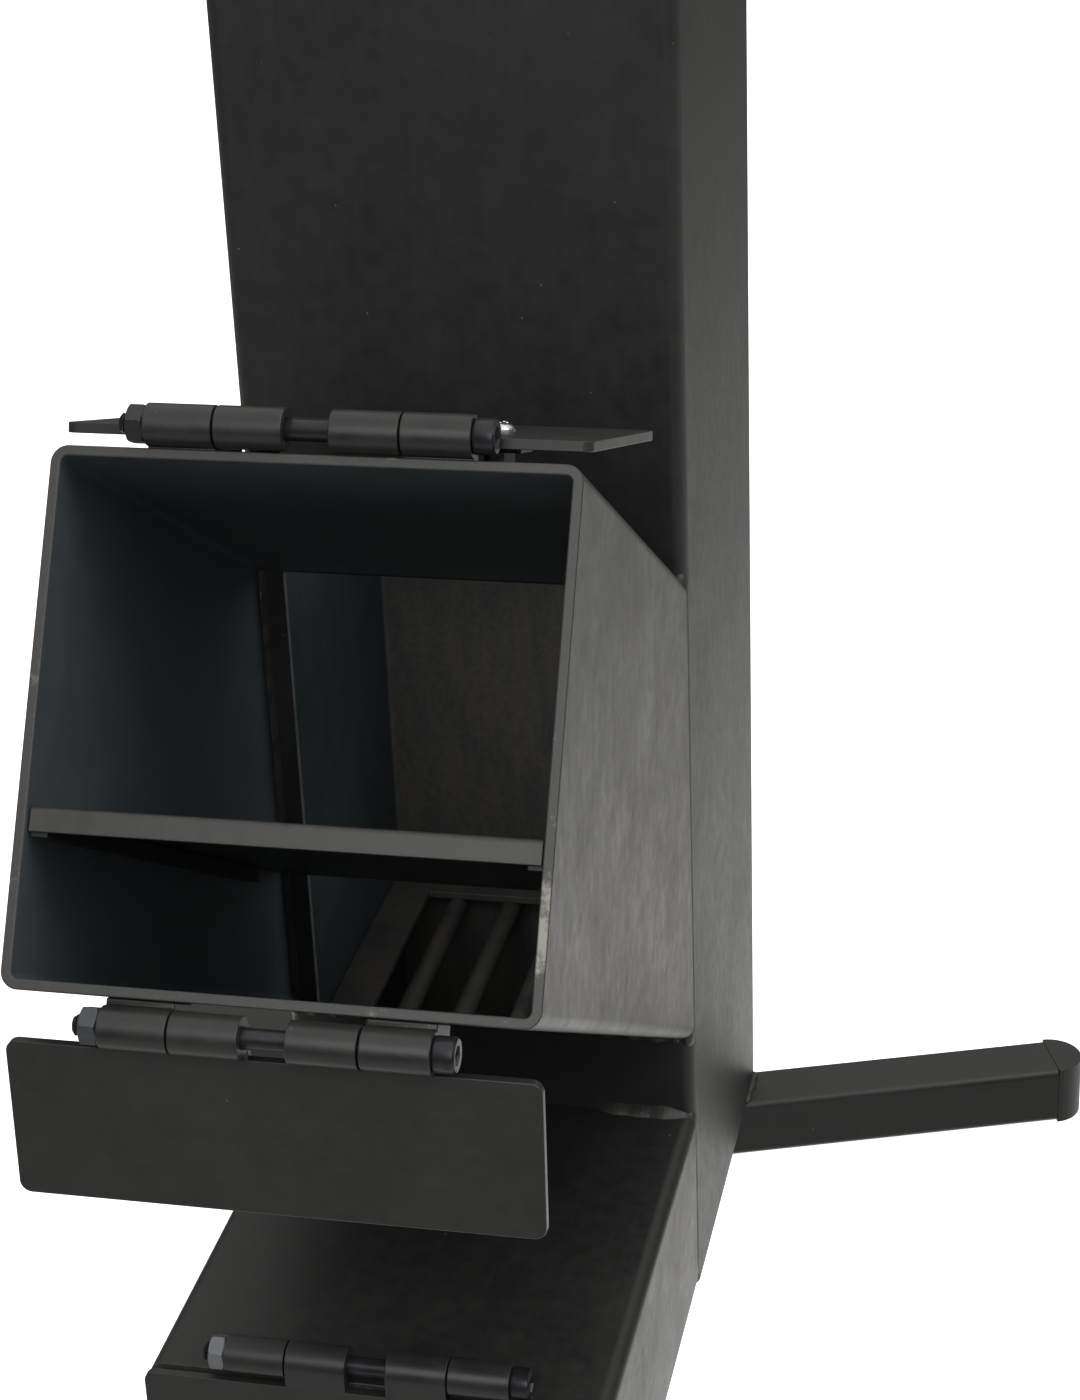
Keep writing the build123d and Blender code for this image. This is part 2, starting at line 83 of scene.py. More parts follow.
def sprayed_black(name, dark, light, patch, grain_along, roughness, specks, peel=0.00003, vary=0.06):
    """Matt heat-resistant paint on rolled steel: cloudy tone, faint roll lines, orange peel, dust specks.

    patch is the width of the clouds in metres, grain_along the roll lines per metre along each axis,
    specks how much dust shows, peel the depth of the dimples, and vary how far roughness wanders."""
    material, tree = new_finish(name)
    place = add(tree, "ShaderNodeTexCoord").outputs["Object"]
    # cloud: uneven spray in patches, from about 1 cm wide on small pieces to 5 cm on the chimney
    cloud = add(tree, "ShaderNodeTexNoise",
                {"Vector": place, "Scale": 1 / patch, "Detail": 5.0, "Roughness": 0.6})
    # roll lines: the steel's own rolling marks, a few millimetres apart and much longer than wide
    stretched = add(tree, "ShaderNodeMapping", {"Vector": place, "Scale": grain_along})
    lines = add(tree, "ShaderNodeTexNoise", {"Vector": stretched.outputs[0], "Scale": 1.0, "Detail": 3.0})
    # mottle: 6 mm blotches where the paint went on dry
    mottle = add(tree, "ShaderNodeTexNoise", {"Vector": place, "Scale": 160.0, "Detail": 4.0, "Roughness": 0.7})
    # peel: 1.2 mm dimples, coarser than the real ones so that they show
    dimples = add(tree, "ShaderNodeTexNoise", {"Vector": place, "Scale": 850.0, "Detail": 2.0})
    tone = add(tree, "ShaderNodeMath", {0: lines.outputs[0], 1: 0.3, 2: cloud.outputs[0]},
               operation="MULTIPLY_ADD")
    tone = add(tree, "ShaderNodeMath", {0: tone.outputs[0], 1: mottle.outputs[0]}, operation="ADD")
    tone = add(tree, "ShaderNodeMapRange", {0: tone.outputs[0], 1: 0.85, 2: 1.45})
    base = add(tree, "ShaderNodeMix", {0: tone.outputs[0], 6: linear(dark), 7: linear(light)}, data_type="RGBA")
    # dust: pale grains about 0.5 mm across, one to each 10 mm cell
    dust = add(tree, "ShaderNodeTexVoronoi", {"Vector": place, "Scale": 95.0, "Randomness": 1.0})
    dust = add(tree, "ShaderNodeMapRange", {0: dust.outputs["Distance"], 1: 0.035, 2: 0.02, 3: 0.0, 4: specks})
    base = add(tree, "ShaderNodeMix", {0: dust.outputs[0], 6: base.outputs[2], 7: linear("#8d8a84")},
               data_type="RGBA")
    rough = add(tree, "ShaderNodeMapRange", {0: tone.outputs[0], 3: roughness - vary, 4: roughness + vary})
    bump = add(tree, "ShaderNodeBump", {"Height": dimples.outputs[0], "Strength": 1.0, "Distance": peel})
    shader = add(tree, "ShaderNodeBsdfPrincipled",
                 {"Base Color": base.outputs[2], "Roughness": rough.outputs[0],
                  "Normal": bump.outputs[0], "IOR": 1.5})
    add(tree, "ShaderNodeOutputMaterial", {"Surface": shader.outputs[0]})
    return material


def softened(node, body, finishes, edge, pick=None):
    """Merged copy of a CAD node with its sharp edges broken by a bevel of the given width.

    pick gives the number of each face's finish from the faces' middles and normals."""
    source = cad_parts[node]
    mesh = source.data.copy()
    mesh.materials.clear()
    form = bmesh.new()
    form.from_mesh(mesh)
    bmesh.ops.remove_doubles(form, verts=form.verts, dist=2e-6)
    # flat faces lose their triangles, so that the bevel runs only along real edges
    bmesh.ops.dissolve_limit(form, angle_limit=0.01, verts=form.verts, edges=form.edges)
    form.to_mesh(mesh)
    form.free()
    for finish in finishes:
        mesh.materials.append(finish)
    count = len(mesh.polygons)
    if pick:
        centre = np.empty(count * 3)
        normal = np.empty(count * 3)
        mesh.polygons.foreach_get("center", centre)
        mesh.polygons.foreach_get("normal", normal)
        index = pick(centre.reshape(-1, 3), normal.reshape(-1, 3)).astype(np.int32)
        mesh.polygons.foreach_set("material_index", index)
    mesh.polygons.foreach_set("use_smooth", np.ones(count, bool))
    mesh.set_sharp_from_angle(angle=0.5)
    piece = bpy.data.objects.new(node + "_finished", mesh)
    bpy.context.scene.collection.objects.link(piece)
    bevel = piece.modifiers.new("broken_edges", "BEVEL")
    bevel.width = edge
    bevel.segments = 2
    bevel.limit_method = "ANGLE"
    bevel.angle_limit = 0.6
    bevel.harden_normals = True
    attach(piece, body)
    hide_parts(node)


# matt high-temperature black over the rolled skin: nearly black face on, with a grey sheen at a low angle
tube_paint = sprayed_black("matt_heat_paint_upright_tube", "#1c1d1c", "#262726", 0.05, (600, 600, 9), 0.5, 0.5)
# the flue's sides: the matt paint with the slight blue of the scale under it, painted paler than the outside
# coat as painted light in the shaded bore
flue_paint_with_painted_light = sprayed_black("blue_scale_flue_paint_with_painted_light", "#2b3134", "#353c3f", 0.03, (500, 500, 20), 0.6,
                           0.0)
# the flame-cut sides of the doorways are rough and paler
cut_scale = sprayed_black("painted_flame_cut_edge", "#55595b", "#6a6d6d", 0.01, (300, 300, 300), 0.5, 0.0)


def brown_stains_and_painted_shade(name):
    """Rolled steel's scale with brown heat stains in upright blotches, half matt, its colours held dark as
    painted shade against the flue lamps' bright spots.
    """
    material, tree = new_finish(name)
    place = add(tree, "ShaderNodeTexCoord").outputs["Object"]
    # stains run down the wall, about 8 mm wide and 35 mm tall, with 2 mm flecks over them
    tall = add(tree, "ShaderNodeMapping", {"Vector": place, "Scale": (130, 130, 28)})
    stain = add(tree, "ShaderNodeTexNoise",
                {"Vector": tall.outputs[0], "Scale": 1.0, "Detail": 6.0, "Roughness": 0.7})
    fleck = add(tree, "ShaderNodeTexNoise", {"Vector": place, "Scale": 420.0, "Detail": 3.0, "Roughness": 0.8})
    both = add(tree, "ShaderNodeMath", {0: stain.outputs[0], 1: fleck.outputs[0]}, operation="ADD")
    amount = add(tree, "ShaderNodeMapRange", {0: both.outputs[0], 1: 0.84, 2: 1.2})
    # both colours are darker than the wall's own: painted shade that offsets the flue lamps
    base = add(tree, "ShaderNodeMix", {0: amount.outputs[0], 6: linear("#3a3d3d"), 7: linear("#504b43")},
               data_type="RGBA")
    bump = add(tree, "ShaderNodeBump", {"Height": both.outputs[0], "Strength": 1.0, "Distance": 0.00006})
    shader = add(tree, "ShaderNodeBsdfPrincipled", {"Base Color": base.outputs[2], "Roughness": 0.5,
                                                    "Normal": bump.outputs[0], "IOR": 1.5})
    add(tree, "ShaderNodeOutputMaterial", {"Surface": shader.outputs[0]})
    return material


flue_stains_and_painted_shade = brown_stains_and_painted_shade("heat_stains_and_painted_shade_scale")
chimney_low, chimney_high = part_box("chimney")
chimney_mid = (chimney_low + chimney_high) / 2
doorway_half = 0.066


def chimney_faces(centre, normal):
    """Finish of each face: 0 outside and on level faces, 1 the bore's back, 2 the doorways' sides, 3 the bore.

    off is the greater of a face's distances from the axis along X and Y, and a face is in the bore where off
    is more than 2 mm short of half the tube's width."""
    off = np.abs(centre[:, :2] - np.array(chimney_mid)[:2]).max(1)
    bore = off < tube_width / 2 - 0.002
    level = np.abs(normal[:, 2]) > 0.7
    back = bore & (normal[:, 1] < -0.7) & (centre[:, 1] > chimney_mid.y)
    cut = (np.abs(centre[:, 0]) < doorway_half) & (np.abs(normal[:, 0]) > 0.9)
    return np.select([level, cut, back, bore], [0, 2, 1, 3], 0)


saw_edge = 0.0005
plate_edge = 0.0003
softened("chimney", "stove", [tube_paint, flue_stains_and_painted_shade, cut_scale, flue_paint_with_painted_light], saw_edge,
         chimney_faces)
softened("floor_plate", "stove", [flue_stains_and_painted_shade], plate_edge)


# ------------------------------------------------------------------ grate
# A square steel ring welded inside the chimney carries five round bars. Both are bare steel that
# the fire has blued and browned.

bar_edge = 0.0004
grate_steel = sprayed_black("fire_blued_bare_steel", "#2a2d2f", "#46423c", 0.02, (300, 60, 300), 0.55, 0.0,
                            0.00006)
softened("grate_seat", "stove", [grate_steel], bar_edge)
softened("grate_rods", "stove", [grate_steel], bar_edge)


# ------------------------------------------------------------------ feed tube
# The same tube, cut square at the mouth, mitred and welded to the chimney at 32 degrees. Its coat is
# blotchier and greyer than the chimney's, and the sawn mouth shows a ground steel edge.

slope = np.radians(32)
feed_out = np.array([0, -np.cos(slope), np.sin(slope)])
feed_up = np.array([0, np.sin(slope), np.cos(slope)])
chimney_front = chimney_low.y
feed_foot = np.array([0, chimney_front, 0.132])
feed_length = 0.281
mouth_low = feed_foot + feed_out * feed_length
mouth_high = mouth_low + feed_up * tube_width

# the same matt black, put on drier, so that the blotches show
side_paint = sprayed_black("matt_heat_paint_feed_tube", "#1c1c1b", "#333230", 0.03, (300, 300, 40), 0.48, 0.6,
                           0.00005, 0.08)
# inside: the matt paint with the slight blue of the scale under it, painted paler than the outside coat as
# painted light in the shaded bores
bore_paint_with_painted_light = sprayed_black("blue_scale_paint_with_painted_light", "#40464a", "#4b5255", 0.03, (500, 500, 20), 0.55,
                           0.0)


def ground_edge(name, handled):
    """Sawn and ground steel edge under a thin coat: grey, finely marked, rubbed bright most near one point."""
    material, tree = new_finish(name)
    place = add(tree, "ShaderNodeTexCoord").outputs["Object"]
    # grinder marks, about 0.8 mm apart
    marks = add(tree, "ShaderNodeTexNoise", {"Vector": place, "Scale": 1200.0, "Detail": 3.0})
    # rubbed: stretches of 15 mm where the coat has gone
    rubbed = add(tree, "ShaderNodeTexNoise",
                 {"Vector": place, "Scale": 70.0, "Detail": 6.0, "Roughness": 0.75})
    # near: a quarter more wear within 6 mm of the handled point, falling to none at 20 mm
    near = add(tree, "ShaderNodeVectorMath", {0: place, 1: tuple(handled)}, operation="DISTANCE")
    near = add(tree, "ShaderNodeMapRange", {0: near.outputs["Value"], 1: 0.006, 2: 0.020, 3: 0.25, 4: 0.0})
    rubbed = add(tree, "ShaderNodeMath", {0: rubbed.outputs[0], 1: near.outputs[0]}, operation="ADD")
    worn = add(tree, "ShaderNodeMapRange", {0: rubbed.outputs[0], 1: 0.60, 2: 0.72})
    coat = add(tree, "ShaderNodeMix", {0: marks.outputs[0], 6: linear("#2d2d2c"), 7: linear("#424240")},
               data_type="RGBA")
    base = add(tree, "ShaderNodeMix", {0: worn.outputs[0], 6: coat.outputs[2], 7: linear("#85837e")},
               data_type="RGBA")
    bump = add(tree, "ShaderNodeBump", {"Height": marks.outputs[0], "Strength": 1.0, "Distance": 0.00004})
    metal = add(tree, "ShaderNodeMath", {0: worn.outputs[0], 1: 0.6}, operation="MULTIPLY")
    shader = add(tree, "ShaderNodeBsdfPrincipled", {"Base Color": base.outputs[2], "Roughness": 0.45,
                                                    "Metallic": metal.outputs[0], "Normal": bump.outputs[0]})
    add(tree, "ShaderNodeOutputMaterial", {"Surface": shader.outputs[0]})
    return material


wall = 0.003
wall_middle = (tube_width - wall) / 2
rubbed_spot = mouth_low + feed_up * 0.026 + np.array([wall_middle, 0, 0])
edge_steel = ground_edge("ground_steel_edge_thin_coat", rubbed_spot)


def feed_faces(centre, normal):
    """Finish of each face: 2 if it looks out along the slope, 1 if it is inside the wall's middle, else 0."""
    height = (centre - feed_foot) @ feed_up
    off = np.maximum(np.abs(centre[:, 0]), np.abs(height - tube_width / 2))
    return np.where(normal @ feed_out > 0.9, 2, np.where(off < wall_middle, 1, 0))


softened("feed_tube", "stove", [side_paint, bore_paint_with_painted_light, edge_steel], saw_edge, feed_faces)


# ------------------------------------------------------------------ air tube
# Rectangular steel tube, 150 by 75 mm, welded level to the chimney's front under the grate. It lets
# in air and an ash scraper, and it is sprayed like the rest.

air_low, air_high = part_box("air_tube")
arm_paint = sprayed_black("matt_heat_paint_air_tube", "#1b1c1b", "#282827", 0.04, (500, 10, 500), 0.47, 0.5)


def air_faces(centre, normal):
    """Finish of each face: 2 on the sawn front end, 1 if it is inside the wall's middle, else 0."""
    height = np.abs(centre[:, 2] - (air_low.z + air_high.z) / 2)
    inside = (np.abs(centre[:, 0]) < wall_middle) & (height < (air_high.z - air_low.z - wall) / 2)
    return np.where(normal[:, 1] < -0.9, 2, np.where(inside, 1, 0))


softened("air_tube", "stove", [arm_paint, bore_paint_with_painted_light, edge_steel], saw_edge, air_faces)


# ------------------------------------------------------------------ legs and feet
# Two 25 mm square steel tubes, mitred together and welded under the chimney, and a cross foot under
# the air tube. Their ends have pressed-in black plastic plugs.

leg_paint = sprayed_black("matt_heat_paint_legs", "#1c1c1b", "#272726", 0.04, (120, 120, 500), 0.46, 0.4)
for leg in ("leg_left", "leg_right", "front_foot"):
    softened(leg, "stove", [leg_paint], bar_edge)


def moulded_plug(name):
    """Moulded polyethylene: even black, half matt, with a fine spark-eroded grain of about 0.5 mm."""
    material, tree = new_finish(name)
    place = add(tree, "ShaderNodeTexCoord").outputs["Object"]
    grain = add(tree, "ShaderNodeTexNoise", {"Vector": place, "Scale": 1800.0, "Detail": 2.0})
    # scuffs about 8 mm long
    scuff = add(tree, "ShaderNodeTexNoise",
                {"Vector": place, "Scale": 130.0, "Detail": 5.0, "Roughness": 0.7})
    base = add(tree, "ShaderNodeMix", {0: scuff.outputs[0], 6: linear("#171717"), 7: linear("#2b2b2a")},
               data_type="RGBA")
    rough = add(tree, "ShaderNodeMapRange", {0: scuff.outputs[0], 3: 0.42, 4: 0.6})
    bump = add(tree, "ShaderNodeBump", {"Height": grain.outputs[0], "Strength": 1.0, "Distance": 0.00003})
    shader = add(tree, "ShaderNodeBsdfPrincipled",
                 {"Base Color": base.outputs[2], "Roughness": rough.outputs[0],
                  "Normal": bump.outputs[0], "IOR": 1.51})
    add(tree, "ShaderNodeOutputMaterial", {"Surface": shader.outputs[0]})
    return material


plug_plastic = moulded_plug("moulded_polyethylene_plug")
softened("leg_caps", "stove", [plug_plastic], 0.0012)
softened("foot_caps", "stove", [plug_plastic], 0.0008)


# ------------------------------------------------------------------ welds
# Steel fillet welds join the tubes, the legs and the hinge feet. They are laid by hand, so a bead
# swells and wanders a little, and they are sprayed with the rest.

def surface(name, grids, finish, body, closed=False):
    """One mesh from grids of points: each cell of a grid is a quad, and the second way wraps if closed."""
    points = []
    faces = []
    start = 0
    for grid in grids:
        rows, columns = grid.shape[:2]
        number = start + np.arange(rows * columns).reshape(rows, columns)
        right = np.roll(number, -1, 1) if closed else number[:, 1:]
        left = number if closed else number[:, :-1]
        quads = np.stack([left[:-1], right[:-1], right[1:], left[1:]], -1).reshape(-1, 4)
        points.append(grid.reshape(-1, 3))
        faces.append(quads)
        start += rows * columns
    mesh = bpy.data.meshes.new(name)
    mesh.from_pydata(np.concatenate(points).tolist(), [], np.concatenate(faces).tolist())
    form = bmesh.new()
    form.from_mesh(mesh)
    bmesh.ops.remove_doubles(form, verts=form.verts, dist=2e-7)
    bmesh.ops.recalc_face_normals(form, faces=form.faces)
    form.to_mesh(mesh)
    form.free()
    mesh.polygons.foreach_set("use_smooth", np.ones(len(mesh.polygons), bool))
    mesh.set_sharp_from_angle(angle=0.7)
    mesh.materials.append(finish)
    piece = bpy.data.objects.new(name, mesh)
    bpy.context.scene.collection.objects.link(piece)
    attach(piece, body)
    return piece


def bead(start, end, out, radius, seed, rough=0.07, sunk=0.0):
    """Weld bead: a circle carried from start to end, its radius swelling with a 2 mm ripple and a slow wander.

    A point is path + size * (cos(turn) * side + sin(turn) * out). size is the radius times 1 + rough * (ripple
    + waves), and falls to nothing at each end. sunk sets the path that far into the steel, against out."""
    start, end, out = np.array(start), np.array(end), np.array(out, float)
    along = end - start
    length = np.linalg.norm(along)
    along = along / length
    out = out - along * (out @ along)
    out = out / np.linalg.norm(out)
    side = np.cross(along, out)
    steps = int(length / 0.0005) + 8
    s = np.linspace(0, 1, steps)[:, None]
    turn = np.linspace(0, 2 * np.pi, 17)[None, :-1]
    chance = np.random.default_rng(seed)
    waves = sum(chance.normal() * np.sin(2 * np.pi * (s * length / step + chance.random()))
                for step in (0.031, 0.017, 0.009))
    ripple = 0.4 * np.cos(2 * np.pi * (s * length / 0.002 + 0.18 * np.sin(turn)))
    swell = radius * (1 + rough * ripple + rough * waves)
    taper = np.sqrt(np.clip(1 - np.abs(2 * s - 1) ** (length / radius / 1.5), 0, 1))
    size = swell * taper
    path = start + along * s * length - out * sunk
    wander = out * (rough * radius * waves)
    return (path + wander)[:, None, :] + size[..., None] * (
        np.cos(turn)[..., None] * side + np.sin(turn)[..., None] * out)


weld_paint = sprayed_black("matt_heat_paint_over_weld", "#222221", "#3d3c3a", 0.012, (400, 400, 400), 0.45, 0.0,
                           0.00005)
feed_bottom = feed_foot[2]
feed_top = feed_bottom + tube_width / np.cos(slope)
air_top = air_high.z
across_end = 0.070
edge_x = 0.0722
inside_low, inside_high = 0.142, 0.298
weld_y = chimney_front + 0.0020
smooth, sunk_in = 0.012, 0.0035
# along the top and the underside of the feed tube
grids = [
    bead((-across_end, chimney_front, feed_top), (across_end, chimney_front, feed_top), (0, -0.47, 0.85),
         0.0018, 1),
    bead((-across_end, chimney_front, feed_bottom), (across_end, chimney_front, feed_bottom),
         (0, -1.53, -0.85), 0.0018, 2),
]
# three stitches along the top of the air tube, laid heavy and smooth
for left, right, out, radius, seed in ((-0.073, -0.040, (0, -1, 1), 0.006, 3),
                                       (-0.016, 0.018, (0, -1, 1), 0.006, 4),
                                       (0.038, 0.074, (0, -0.6, 1), 0.0065, 5)):
    grids.append(bead((left, chimney_front, air_top), (right, chimney_front, air_top), out, radius, seed,
                      smooth, sunk_in))
# inside the feed tube, up both corners against the chimney
for sign, seed in ((-1, 14), (1, 15)):
    x = sign * edge_x
    grids.append(bead((x, chimney_front, inside_low), (x, chimney_front, inside_high), (-sign, -1, 0),
                      0.0014, seed, 0.05))
# outside, up both sides of the feed tube and of the air tube, and where each leg passes the chimney's side
for sign in (-1, 1):
    x = sign * edge_x
    side = sign * tube_width / 2
    grids += [
        bead((x, weld_y, 0.128), (x, weld_y, feed_top + 0.002), (sign, -0.4, 0), 0.0032, 6 + sign, 0.008),
        bead((x, weld_y, 0.027), (x, weld_y, air_top + 0.001), (sign, -0.4, 0), 0.0032, 9 + sign, 0.008),
        bead((side, 0.014, 0.0252), (side, 0.037, 0.0252), (sign, 0, 1), 0.0016, 12 + sign),
    ]
surface("tube_welds", grids, weld_paint, "stove", closed=True)


# ------------------------------------------------------------------ fuel shelf
# A folded steel plate that carries the wood. It lies on two steel rails welded inside the feed tube,
# and slides out of the mouth; its front edge is turned down into a lip.

shelf_paint = sprayed_black("satin_heat_paint_shelf", "#2b2b2a", "#3b3a38", 0.03, (8, 500, 500), 0.42, 0.3)
softened("fuel_shelf", "shelf", [shelf_paint], plate_edge)
softened("shelf_rails", "stove", [tube_paint], plate_edge)


# ------------------------------------------------------------------ doors
# Lid, flap and ash door are 3 mm steel plates, laser cut with small round corners and sprayed on both
# sides. The lid's handle is a bent steel strap.

door_paint = sprayed_black("matt_heat_paint_doors", "#1f1f1e", "#2b2b2a", 0.045, (20, 400, 400), 0.45, 0.4)
for door, body in (("lid", "lid"), ("flap", "flap"), ("ash_door", "ash_door"), ("lid_handle", "lid")):
    softened(door, body, [door_paint], bar_edge)


# ------------------------------------------------------------------ hinges
# Each hinge is four lengths of thick steel tube on one long socket-head bolt with a nut, satin black.
# The outer two stand on feet welded to the main tube, and the inner two are welded to the door.

knuckle_edge = 0.0006
hinge_paint = sprayed_black("satin_black_hinge_tube", "#202020", "#2c2c2b", 0.02, (60, 900, 900), 0.38, 0.3,
                            0.00004)
for name, body in (("lid", "lid"), ("flap", "flap"), ("ash", "ash_door")):
    softened(name + "_tube_knuckles", "stove", [hinge_paint], knuckle_edge)
    softened(name + "_door_knuckles", body, [hinge_paint], knuckle_edge)


def plated_steel(name, dark, light, roughness):
    """Steel fixing with black oxide or dull zinc on it: half metallic, satin, with paler rubbed patches."""
    material, tree = new_finish(name)
    place = add(tree, "ShaderNodeTexCoord").outputs["Object"]
    # rubbed patches about 4 mm across, with finer grain in them
    patch = add(tree, "ShaderNodeTexNoise",
                {"Vector": place, "Scale": 250.0, "Detail": 6.0, "Roughness": 0.7})
    base = add(tree, "ShaderNodeMix", {0: patch.outputs[0], 6: linear(dark), 7: linear(light)},
               data_type="RGBA")
    rough = add(tree, "ShaderNodeMapRange", {0: patch.outputs[0], 3: roughness - 0.08, 4: roughness + 0.08})
    bump = add(tree, "ShaderNodeBump", {"Height": patch.outputs[0], "Strength": 1.0, "Distance": 0.00003})
    shader = add(tree, "ShaderNodeBsdfPrincipled",
                 {"Base Color": base.outputs[2], "Roughness": rough.outputs[0],
                  "Metallic": 0.6, "Normal": bump.outputs[0]})
    add(tree, "ShaderNodeOutputMaterial", {"Surface": shader.outputs[0]})
    return material


bolt_black = plated_steel("black_oxide_bolt_steel", "#1e1e1f", "#414246", 0.3)
nut_black = plated_steel("black_oxide_nut_steel", "#232425", "#46484b", 0.34)
nut_zinc = plated_steel("dull_zinc_plate", "#6a6d6f", "#8b8f92", 0.42)
nut_smoked = plated_steel("smoked_zinc_plate", "#3a3d3e", "#5d6163", 0.36)

# the 96 angles of a turned piece
spin = np.linspace(0, 2 * np.pi, 97)[None, :-1]


def hexagon(across_flats, turn):
    """Radius of a hexagon at an angle: half the width across flats over the cosine from the nearest flat."""
    return across_flats / 2 / np.cos((turn + np.pi / 6) % (np.pi / 3) - np.pi / 6)


def turned(centre, x, radius):
    """Points at x along the hinge axis and radius around it, for every angle of the spin."""
    x = np.broadcast_to(x, np.broadcast_shapes(np.shape(x), np.shape(radius), spin.shape))
    radius = np.broadcast_to(radius, x.shape)
    angle = np.broadcast_to(spin, x.shape)
    return np.stack([x, centre[1] + radius * np.cos(angle), centre[2] + radius * np.sin(angle)], -1)


def bolt(name, low, high, finish):
    """M6 socket-head bolt along X, as one grid of rings from the tip to the bottom of the socket.

    Over the 24 mm nearest the tip the radius is 3 mm less a 0.4 mm groove that follows a 1 mm helix. The head
    is a chamfered ring 6 mm long, and its socket is a ring with a hexagon's radius, 3 mm deep."""
    centre = (np.array(low) + np.array(high)) / 2
    tip, end = low[0], high[0]
    under = end - 0.006
    run = np.arange(tip + 0.0006, tip + 0.024, 0.000125)[:, None]
    pitch = 0.001
    groove = np.abs(((run / pitch + spin / (2 * np.pi)) % 1) * 2 - 1)
    thread = 0.00298 - 0.00042 * np.clip(1.25 * groove - 0.12, 0, 1)
    rings = [
        turned(centre, np.array([[tip], [tip]]), np.array([[0.0], [0.0023]])),
        turned(centre, run, thread),
        turned(centre, np.array([[tip + 0.0245], [under], [under], [under + 0.0003], [end - 0.0006], [end]]),
               np.array([[0.003], [0.003], [0.0048], [0.005], [0.005], [0.0044]])),
        turned(centre, end - 0.0001, hexagon(0.0053, spin)),
        turned(centre, np.array([[end - 0.0003], [end - 0.003]]), hexagon(0.005, spin)),
        turned(centre, np.array([[end - 0.003]]), np.array([[0.0]])),
    ]
    piece = surface(name + "_bolt_turned", [np.concatenate(rings)], finish, "stove", closed=True)
    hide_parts(name)


def nut_grid(centre, axis, start, thickness, flats, hole):
    """Hexagon nut: t runs through the thickness, and the radius is the lesser of the hexagon's and a 30 degree
    cone's at each face. The first ring and the last two are the hole's."""
    axis = np.array(axis, float)
    side = np.cross(axis, [0.0, 0.0, 1.0]) if abs(axis[2]) < 0.9 else np.array([1.0, 0, 0])
    side = side / np.linalg.norm(side)
    other = np.cross(axis, side)
    t = np.array([0, 0, 0.02, 0.06, 0.12, 0.2, 0.35, 0.65, 0.8, 0.88, 0.94, 0.98, 1, 1, 0])[:, None]
    near = np.minimum(t, 1 - t) * thickness
    radius = np.minimum(hexagon(flats, spin), flats / 2 * 0.99 + near * 1.73)
    radius[0] = hole
    radius[-2:] = hole
    at = start + t * thickness
    return (np.array(centre) + (at * np.ones_like(radius))[..., None] * axis
            + (radius * np.cos(spin))[..., None] * side + (radius * np.sin(spin))[..., None] * other)


across_flats = 0.010
bolt_radius = 0.003
for name in ("lid", "flap", "ash"):
    low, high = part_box(name + "_hinge_bolt")
    bolt(name + "_hinge_bolt", low, high, bolt_black)
    nut_low, nut_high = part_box(name + "_hinge_nut")
    middle = (0, (low.y + high.y) / 2, (low.z + high.z) / 2)
    plate = {"lid": nut_black, "flap": nut_smoked, "ash": nut_zinc}[name]
    grid = nut_grid(middle, (1, 0, 0), nut_low.x, nut_high.x - nut_low.x, across_flats, bolt_radius)
    nut = surface(name + "_hinge_nut_turned", [grid], plate, "stove",
                  closed=True)
    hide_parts(name + "_hinge_nut")

# foot welds: a short bead behind the foot of each outer knuckle, 1 mm shorter than it at each end. Each
# hinge's row gives how far its middle is off the stove's, a point on the bead's line, its way out and radius
knuckle_length = 0.0195
outer_middle = 0.03575
low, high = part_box("ash_hinge_bolt")
ash_y = (low.y + high.y) / 2
foot_rows = ((-0.0015, mouth_high - feed_out * 0.006, feed_up - feed_out, 0.0014),
             (0.001, mouth_low - feed_out * 0.0172, -feed_up - feed_out, 0.0014),
             (-0.002, np.array([0, ash_y + 0.006, air_top]), np.array([0, 1, 1]), 0.0005))
half_bead = knuckle_length / 2 - 0.001
beads = []
for sign in (-1, 1):
    for shift, line, out, radius in foot_rows:
        middle = shift + sign * outer_middle
        begin = line + np.array([middle - half_bead, 0, 0])
        end = line + np.array([middle + half_bead, 0, 0])
        beads.append(bead(begin, end, out, radius, 20 + sign + len(beads)))
surface("hinge_foot_welds", beads, weld_paint, "stove", closed=True)


# ------------------------------------------------------------------ handle fixings
# Two bright plated steel pan-head screws go from the lid's inner face out through the feet of the
# strap, where a zinc-plated nut holds each.

def bright_plate(name):
    """Nickel-chrome plate: mirror bright with faint 1 mm rubs in it."""
    material, tree = new_finish(name)
    place = add(tree, "ShaderNodeTexCoord").outputs["Object"]
    rubs = add(tree, "ShaderNodeTexNoise", {"Vector": place, "Scale": 900.0, "Detail": 4.0})
    base = add(tree, "ShaderNodeMix", {0: rubs.outputs[0], 6: linear("#d9dadc"), 7: linear("#f2f2f2")},
               data_type="RGBA")
    rough = add(tree, "ShaderNodeMapRange", {0: rubs.outputs[0], 3: 0.10, 4: 0.24})
    shader = add(tree, "ShaderNodeBsdfPrincipled",
                 {"Base Color": base.outputs[2], "Roughness": rough.outputs[0], "Metallic": 1.0})
    add(tree, "ShaderNodeOutputMaterial", {"Surface": shader.outputs[0]})
    return material


screw_plate = bright_plate("bright_nickel_plate")
lid_tilt = np.radians(18)
screw_up = np.array([0, np.sin(lid_tilt), np.cos(lid_tilt)])
screw_side = np.array([1.0, 0, 0])
screw_other = np.cross(screw_up, screw_side)


